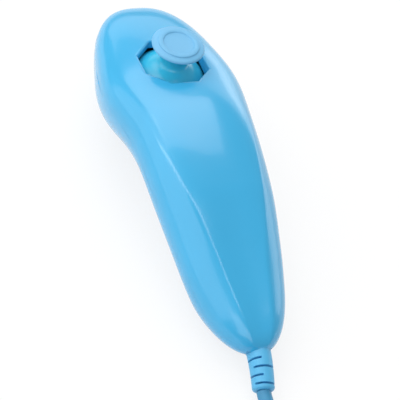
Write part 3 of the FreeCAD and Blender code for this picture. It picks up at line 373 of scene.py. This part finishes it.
def loop_faces(rows, columns, closed_rows):
    # Quads between neighbouring rows of points, each row a closed loop of columns.
    faces = []
    for row in range(rows if closed_rows else rows - 1):
        here = row * columns
        there = (row + 1) % rows * columns
        for k in range(columns):
            after = (k + 1) % columns
            faces.append((here + k, here + after, there + after, there + k))
    return faces


def ring_points(profile, steps):
    # Each point of the profile, a radius and a height, turned once around the axis.
    points = []
    for radius, height in profile:
        for k in range(steps):
            turn = 2 * math.pi * k / steps
            points.append((radius * math.cos(turn), radius * math.sin(turn), height))
    return points


def lathe(name, profile, centre):
    # A turned piece: its profile starts and ends on the axis, or else is a closed loop.
    solid = profile[0][0] == 0
    rings = profile[1:-1] if solid else profile
    points = ring_points(rings, LATHE_STEPS)
    faces = loop_faces(len(rings), LATHE_STEPS, not solid)
    if solid:
        first, last = len(points), len(points) + 1
        points += [(0, 0, profile[0][1]), (0, 0, profile[-1][1])]
        end = (len(rings) - 1) * LATHE_STEPS
        for k in range(LATHE_STEPS):
            after = (k + 1) % LATHE_STEPS
            faces += [(first, k, after), (last, end + after, end + k)]
    return new_piece(name, [Vector(point) + centre for point in points], faces)


# Form of the upper shell.

def slope(places, values, index):
    # The slope, at one of the places, of the parabola through it and its neighbours.
    first = min(max(index - 1, 0), len(places) - 3)
    a, b, c = places[first:first + 3]
    u, v, w = values[first:first + 3]
    rate = (v - u) / (b - a)
    bend = ((w - v) / (c - b) - rate) / (c - a)
    return rate + bend * (2 * places[index] - a - b)


def between(places, values, place):
    # A smooth curve through the values, read at any place.
    last = len(places) - 2
    index = max(k for k in range(last + 1) if places[k] <= place or k == 0)
    span = places[index + 1] - places[index]
    t = (place - places[index]) / span
    leave = slope(places, values, index) * span
    arrive = slope(places, values, index + 1) * span
    start = (1 + 2 * t) * (1 - t) ** 2 * values[index] + t * (1 - t) ** 2 * leave
    end = t * t * (3 - 2 * t) * values[index + 1] + t * t * (t - 1) * arrive
    return start + end


def closing(distance, rounding, fullness):
    # How much of its girth the body has at a distance from its tip.
    if distance >= rounding:
        return 1.0
    return (1 - (1 - distance / rounding) ** fullness) ** (1 / fullness)


def body_share(y):
    # How far along the body a place is, from 0 at the tail to 1 at the nose.
    return y / BODY_LENGTH + 0.5


def seam_height(y):
    share = min(max(body_share(y), 0.0), 1.0)
    return between(STATION_SHARES, SEAM_HEIGHTS, share)


def girth(y, inset):
    # Half the width, and the rise over the seam, of the surface that far inside the outer one.
    share = body_share(y)
    tail = closing(y - TAIL - inset, TAIL_ROUNDING - inset, TAIL_FULLNESS)
    nose = closing(NOSE - inset - y, NOSE_ROUNDING - inset, NOSE_FULLNESS)
    sizes = (between(STATION_SHARES, row, share) for row in (HALF_WIDTHS, RISES))
    return [(size - inset) * tail * nose for size in sizes]


def ridge(x, y, half_width):
    # How far the crease lifts the surface, falling off to both of its sides.
    share = body_share(y)
    if share >= CREASE_SHARES[-1]:
        return 0.0
    place = min(between(CREASE_SHARES, CREASE_HALF_WIDTHS, share), half_width * CREASE_LIMIT)
    height = max(between(CREASE_SHARES, CREASE_RIDGES, share), 0.0)
    if abs(x) < place:
        lift = height * (x / place) ** 2
    else:
        lift = height * max((half_width - abs(x)) / (half_width - place), 0.0) ** 2
    # The rounding cuts too deep at the tail's narrow tip, nearly all of it inside the relief.
    near = max(CREASE_ROUNDING - abs(abs(x) - place), 0.0)
    turn = height / place + height / (half_width - place)
    return lift - turn * near * near / (2 * CREASE_ROUNDING)


def top_height(x, y):
    half_width, rise = girth(y, 0)
    fall = max(1 - abs(x / half_width) ** TOP_FULLNESS, 0.0) ** (1 / TOP_FULLNESS)
    return seam_height(y) + rise * fall + ridge(x, y, half_width)


def shell_arc(y, inset):
    # One cross-section of the outer or the inner surface, from seam to seam.
    half_width, rise = girth(y, inset)
    points = []
    for k in range(SHELL_STEPS + 1):
        angle = math.pi * k / SHELL_STEPS
        across, up = math.cos(angle), abs(math.sin(angle))
        x = half_width * math.copysign(abs(across) ** (2 / TOP_FULLNESS), across)
        z = rise * up ** (2 / TOP_FULLNESS)
        if not inset:
            z += ridge(x, y, half_width)
        points.append((x, y, seam_height(y) + (z if 0 < k < SHELL_STEPS else SEAM_EDGE)))
    return points


def shell_points():
    # Each loop is an arc of the outer surface and the matching arc of the inner one, turned back.
    points = []
    for row in range(SHELL_STATIONS + 1):
        share = (1 - math.cos(math.pi * row / SHELL_STATIONS)) / 2
        arcs = []
        for inset in (0, WALL):
            reach = NOSE - inset - TIP_FLAT
            arcs.append(shell_arc(reach * (2 * share - 1), inset))
        points += arcs[0] + arcs[1][::-1]
    return points


def shell_wall():
    # Each end is closed by the outer surface's tip, the inner one's, and the strip between them.
    arc = SHELL_STEPS + 1
    faces = loop_faces(SHELL_STATIONS + 1, 2 * arc, False)
    for start in (0, SHELL_STATIONS * 2 * arc):
        faces.append(tuple(range(start, start + arc)))
        faces.append(tuple(range(start + arc, start + 2 * arc)))
        faces.append((start, start + arc - 1, start + arc, start + 2 * arc - 1))
    return new_piece("upper_shell_skin", shell_points(), faces)


# Gate, and the upper shell around it.

def octagon(radius):
    # Corners and even steps along the sides of an octagon about the gate's centre.
    corners = []
    for k in range(GATE_SIDES):
        turn = 2 * math.pi * (k + 0.5) / GATE_SIDES
        corners.append((radius * math.cos(turn), GATE_CENTRE + radius * math.sin(turn)))
    places = []
    for (x, y), (next_x, next_y) in zip(corners, corners[1:] + corners[:1]):
        for k in range(GATE_SIDE_STEPS):
            t = k / GATE_SIDE_STEPS
            places.append((x + (next_x - x) * t, y + (next_y - y) * t))
    return places


def row_below_top(out, down):
    # The octagon that far out from the gate's wall, at an even depth below the shell's surface.
    return [(x, y, top_height(x, y) - down) for x, y in octagon(GATE_CORNER_RADIUS + out)]


def flat_row(out, height):
    return [(x, y, height) for x, y in octagon(GATE_CORNER_RADIUS + out)]


def gate_wall():
    # The rounded rim, the wall below it and the wall's outer side, as one closed ring.
    rows = [row_below_top(out, down) for out, down in GATE_RIM]
    rows += [flat_row(out, GATE_LOW) for out in (0.0, GATE_WALL)]
    rows += [row_below_top(out, GATE_UNDER) for out in (GATE_WALL, GATE_RIM_REACH)]
    points = [point for row in rows for point in row]
    return new_piece("gate_wall", points, loop_faces(len(rows), len(rows[0]), True))


def gate_cutter():
    # A plain eight-sided block, as wide as the gate's rim.
    points = []
    for height in GATE_CUT_HEIGHTS:
        points += flat_row(GATE_RIM_REACH, height)[::GATE_SIDE_STEPS]
    faces = loop_faces(len(GATE_CUT_HEIGHTS), GATE_SIDES, False)
    faces += [tuple(range(GATE_SIDES)), tuple(range(GATE_SIDES, 2 * GATE_SIDES))]
    return new_piece("gate_cutter", points, faces)


def cut(piece, tool):
    change = piece.modifiers.new("cut", "BOOLEAN")
    change.operation = "DIFFERENCE"
    change.solver = "EXACT"
    change.object = tool
    result = piece.evaluated_get(bpy.context.evaluated_depsgraph_get())
    mesh = bpy.data.meshes.new_from_object(result)
    piece.modifiers.clear()
    piece.data = mesh
    bpy.data.objects.remove(tool)


def join(piece, other):
    # One piece of both, in which the other keeps a material of its own, the second.
    build = bmesh.new()
    build.from_mesh(piece.data)
    before = len(build.faces)
    build.from_mesh(other.data)
    build.faces.ensure_lookup_table()
    for face in build.faces[before:]:
        face.material_index = 1
    build.to_mesh(piece.data)
    build.free()
    bpy.data.objects.remove(other)


def make_upper_shell(materials):
    shell = shell_wall()
    cut(shell, gate_cutter())
    join(shell, gate_wall())
    shade(shell)
    paint(shell, materials["shell"])
    # The gate's wall takes the copy of the shell's plastic that has painted bounce light.
    shell.data.materials.append(materials["gate"])
    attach(shell, "housing")
    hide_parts("upper_shell")


# Stick.

def dome_arc(radius, first, last):
    span = last - first
    angles = [math.radians(first + span * k / DOME_STEPS) for k in range(DOME_STEPS + 1)]
    return [(radius * math.sin(angle), radius * math.cos(angle)) for angle in angles]


def make_stick(materials):
    inner = dome_arc(DOME_RADIUS - DOME_THICKNESS, DOME_NECK_ANGLE, DOME_RIM_ANGLE)
    outer = dome_arc(DOME_RADIUS, DOME_RIM_ANGLE, DOME_NECK_ANGLE)
    stem = lathe("stem_and_dome", [*STEM_HUB, *inner, *outer, *STEM_FLARE], PIVOT)
    cap = lathe("thumb_cap", list(CAP_PROFILE), PIVOT)
    # The stem and dome take the copy of the stick's plastic that has painted bounce light.
    for piece, node, material in ((stem, "stick_stem", "dome"), (cap, "stick_cap", "stick")):
        shade(piece, STICK_SHARP_ANGLE)
        paint(piece, materials[material])
        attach(piece, "stick")
        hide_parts(node)


# Strain relief.

def relief_place(t):
    # A place on the relief's middle line and its heading there, from the tail to the cord.
    start, knee, end = (Vector(point) for point in RELIEF_ROUTE)
    place = start * (1 - t) ** 2 + knee * 2 * t * (1 - t) + end * t * t
    heading = (knee - start) * (1 - t) + (end - knee) * t
    return place, heading.normalized()


def relief_line():
    # The middle line from the cord's end inward, and how far along it each place is.
    shares = [k / RELIEF_LINE_STEPS for k in range(RELIEF_LINE_STEPS + 1)]
    line = [relief_place(share) for share in shares][::-1]
    reach = [0.0]
    for (place, _), (after, _) in zip(line, line[1:]):
        reach.append(reach[-1] + (after - place).length)
    return line, reach


def relief_stops():
    # Distances from the cord's end of the relief's rings: one close to each side of a slit's edge.
    stops = list(RELIEF_LIP_STOPS)
    for middle, _ in RELIEF_SLITS:
        for edge in (middle - RELIEF_SLIT / 2, middle + RELIEF_SLIT / 2):
            stops += [edge - RELIEF_SLIT_EDGE, edge + RELIEF_SLIT_EDGE]
    return stops + list(RELIEF_INNER_STOPS)


def relief_radius(distance, angle, length):
    radius = RELIEF_END_RADIUS + (RELIEF_RADIUS - RELIEF_END_RADIUS) * distance / length
    if distance < RELIEF_LIP:
        share = 1 - distance / RELIEF_LIP
        radius -= (1 - math.sqrt(1 - share * share)) * RELIEF_LIP
    for middle, side in RELIEF_SLITS:
        apart = abs((angle - side + 180.0) % 360.0 - 180.0)
        if abs(distance - middle) < RELIEF_SLIT / 2 and apart < RELIEF_SLIT_REACH:
            return RELIEF_CORE
    return radius


def relief_ring(line, reach, stop):
    # The points around the middle line at one distance from the cord's end.
    index = max(k for k in range(RELIEF_LINE_STEPS) if reach[k] <= stop)
    share = (stop - reach[index]) / (reach[index + 1] - reach[index])
    place = line[index][0].lerp(line[index + 1][0], share)
    heading = line[index][1].lerp(line[index + 1][1], share).normalized()
    right = heading.cross(Vector(UPRIGHT)).normalized() * -1
    top = right.cross(heading)
    if top.z < 0:
        top = -top
    points = []
    for k in range(RELIEF_STEPS):
        angle = 360.0 * k / RELIEF_STEPS
        turn = math.radians(angle)
        radius = relief_radius(stop, angle, reach[-1])
        points.append(place + (top * math.cos(turn) + right * math.sin(turn)) * radius)
    return points


def neck_points():
    # The relief's last two rings, upright and level in the tail.
    points = []
    for y in NECK_ENDS:
        for k in range(RELIEF_STEPS):
            turn = 2 * math.pi * k / RELIEF_STEPS
            across, up = NECK_RADIUS * math.sin(turn), NECK_RADIUS * math.cos(turn)
            points.append((across, y, NECK_HEIGHT + up))
    return points


def make_relief(material):
    line, reach = relief_line()
    stops = relief_stops()
    points = [point for stop in stops for point in relief_ring(line, reach, stop)]
    points += neck_points()
    faces = loop_faces(len(stops) + len(NECK_ENDS), RELIEF_STEPS, False)
    faces.append(tuple(range(RELIEF_STEPS)))
    faces.append(tuple(range(len(points) - RELIEF_STEPS, len(points))))
    piece = new_piece("slit_relief", points, faces)
    shade(piece)
    paint(piece, material)
    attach(piece, "housing")
    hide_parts("strain_relief")
    return piece


# Cord.

def coil_point(turns):
    # A point of the coil: inward on the lower layer, up, and outward on the upper one.
    climb_middle = COIL_TURNS_IN + COIL_CLIMB_TURNS / 2
    inward = min(turns, climb_middle) - max(turns - climb_middle, 0)
    radius = COIL_OUTER_RADIUS - COIL_PITCH * inward
    share = min(max((turns - COIL_TURNS_IN) / COIL_CLIMB_TURNS, 0), 1)
    height = COIL_BASE + COIL_LAYER_RISE * share * share * (3 - 2 * share)
    angle = 2 * math.pi * (COIL_START_TURN - turns)
    x = COIL_CENTRE[0] + radius * math.cos(angle)
    y = COIL_CENTRE[1] + radius * math.sin(angle)
    return (x, y, height)


def cord_route():
    turns = COIL_TURNS_IN + COIL_CLIMB_TURNS + COIL_TURNS_OUT
    steps = round(turns * COIL_POINTS_PER_TURN)
    coil = [coil_point(k / COIL_POINTS_PER_TURN) for k in range(steps + 1)]
    return [RELIEF_END, *CORD_POINTS, *coil, *CORD_END_POINTS, PLUG_START]


def cord_curve():
    # One open NURBS spline, with the route's points as its control points.
    curve = bpy.data.curves.new("cord_line", "CURVE")
    curve.dimensions = "3D"
    curve.bevel_depth = CORD_RADIUS * MM
    curve.bevel_resolution = CORD_SMOOTHNESS
    curve.resolution_u = CORD_SMOOTHNESS
    curve.use_fill_caps = True
    route = cord_route()
    spline = curve.splines.new("NURBS")
    spline.points.add(len(route) - 1)
    for point, place in zip(spline.points, route):
        point.co = (*(c * MM for c in place), 1)
    spline.order_u = CORD_ORDER
    spline.use_endpoint_u = True
    return curve


def make_cord(material):
    cord = bpy.data.objects.new("cord_line", cord_curve())
    bpy.context.scene.collection.objects.link(cord)
    paint(cord, material)
    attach(cord, "housing")
    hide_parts("cord", "cord_coil", "cord_end")


# Stage, light and camera.

def glow_share(tree):
    # Full strength for the rays that see the floor, and none for those that light the handset.
    rays = tree.nodes.new("ShaderNodeLightPath")
    total = rays.outputs[FLOOR_GLOW_RAYS[0]]
    for kind in FLOOR_GLOW_RAYS[1:]:
        either = tree.nodes.new("ShaderNodeMath")
        either.operation = "MAXIMUM"
        tree.links.new(total, either.inputs[0])
        tree.links.new(rays.outputs[kind], either.inputs[1])
        total = either.outputs["Value"]
    share = tree.nodes.new("ShaderNodeMath")
    share.operation = "MULTIPLY"
    share.inputs[1].default_value = FLOOR_GLOW
    tree.links.new(total, share.inputs[0])
    return share.outputs["Value"]


def floor_material():
    material = bpy.data.materials.new("floor_white")
    material.use_nodes = True
    tree = material.node_tree
    shader = tree.nodes["Principled BSDF"]
    node_input(shader, "Base Color", (*FLOOR_WHITE, 1))
    node_input(shader, "Roughness", FLOOR_ROUGHNESS)
    node_input(shader, "Specular IOR Level", FLOOR_SPECULAR)
    glow = tree.nodes.new("ShaderNodeEmission")
    mix = tree.nodes.new("ShaderNodeMixShader")
    tree.links.new(glow_share(tree), mix.inputs["Fac"])
    tree.links.new(shader.outputs["BSDF"], mix.inputs[1])
    tree.links.new(glow.outputs["Emission"], mix.inputs[2])
    tree.links.new(mix.outputs["Shader"], tree.nodes["Material Output"].inputs["Surface"])
    return material


def make_floor():
    bpy.ops.mesh.primitive_plane_add(size=FLOOR_SIZE)
    floor = bpy.context.object
    floor.name = "floor"
    paint(floor, floor_material())


def make_light(name, place, size, power, along=UPRIGHT):
    # A rectangular lamp aimed at the handset, its second side turned along the given direction.
    light = bpy.data.lights.new(name, "AREA")
    light.shape = "RECTANGLE"
    light.size, light.size_y = size
    light.energy = power
    lamp = bpy.data.objects.new(name, light)
    lamp.location = Vector(place)
    back = (lamp.location - LIGHT_AIM).normalized()
    side = Vector(along).cross(back).normalized()
    lamp.rotation_mode = "QUATERNION"
    lamp.rotation_quaternion = Matrix((side, back.cross(side), back)).transposed().to_quaternion()
    bpy.context.scene.collection.objects.link(lamp)


def make_lights():
    world = bpy.data.worlds.new("studio")
    bpy.context.scene.world = world
    world.use_nodes = True
    background = world.node_tree.nodes["Background"]
    node_input(background, "Color", (1, 1, 1, 1))
    node_input(background, "Strength", WORLD_STRENGTH)
    for name, lamp in LAMPS.items():
        make_light(name, **lamp)


def make_camera():
    data = bpy.data.cameras.new("camera")
    data.lens = CAMERA_LENS
    data.sensor_width = CAMERA_SENSOR
    data.clip_start, data.clip_end = CAMERA_CLIP
    camera = bpy.data.objects.new("camera", data)
    camera.location = CAMERA_PLACE
    camera.rotation_mode = "QUATERNION"
    look = (CAMERA_TARGET - CAMERA_PLACE).to_track_quat("-Z", "Y")
    camera.rotation_quaternion = look @ Quaternion(UPRIGHT, CAMERA_ROLL)
    bpy.context.scene.collection.objects.link(camera)
    bpy.context.scene.camera = camera


# Everything together.


bpy.ops.object.select_all(action="SELECT")
bpy.ops.object.delete()
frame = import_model()
bpy.context.scene.view_settings.view_transform = "Standard"
all_materials = make_materials()
paint_nodes(frame["nodes"], all_materials)
make_upper_shell(all_materials)
make_stick(all_materials)
relief_piece = make_relief(all_materials["relief"])
make_cord(all_materials["cord"])
make_floor()
make_lights()
make_camera()
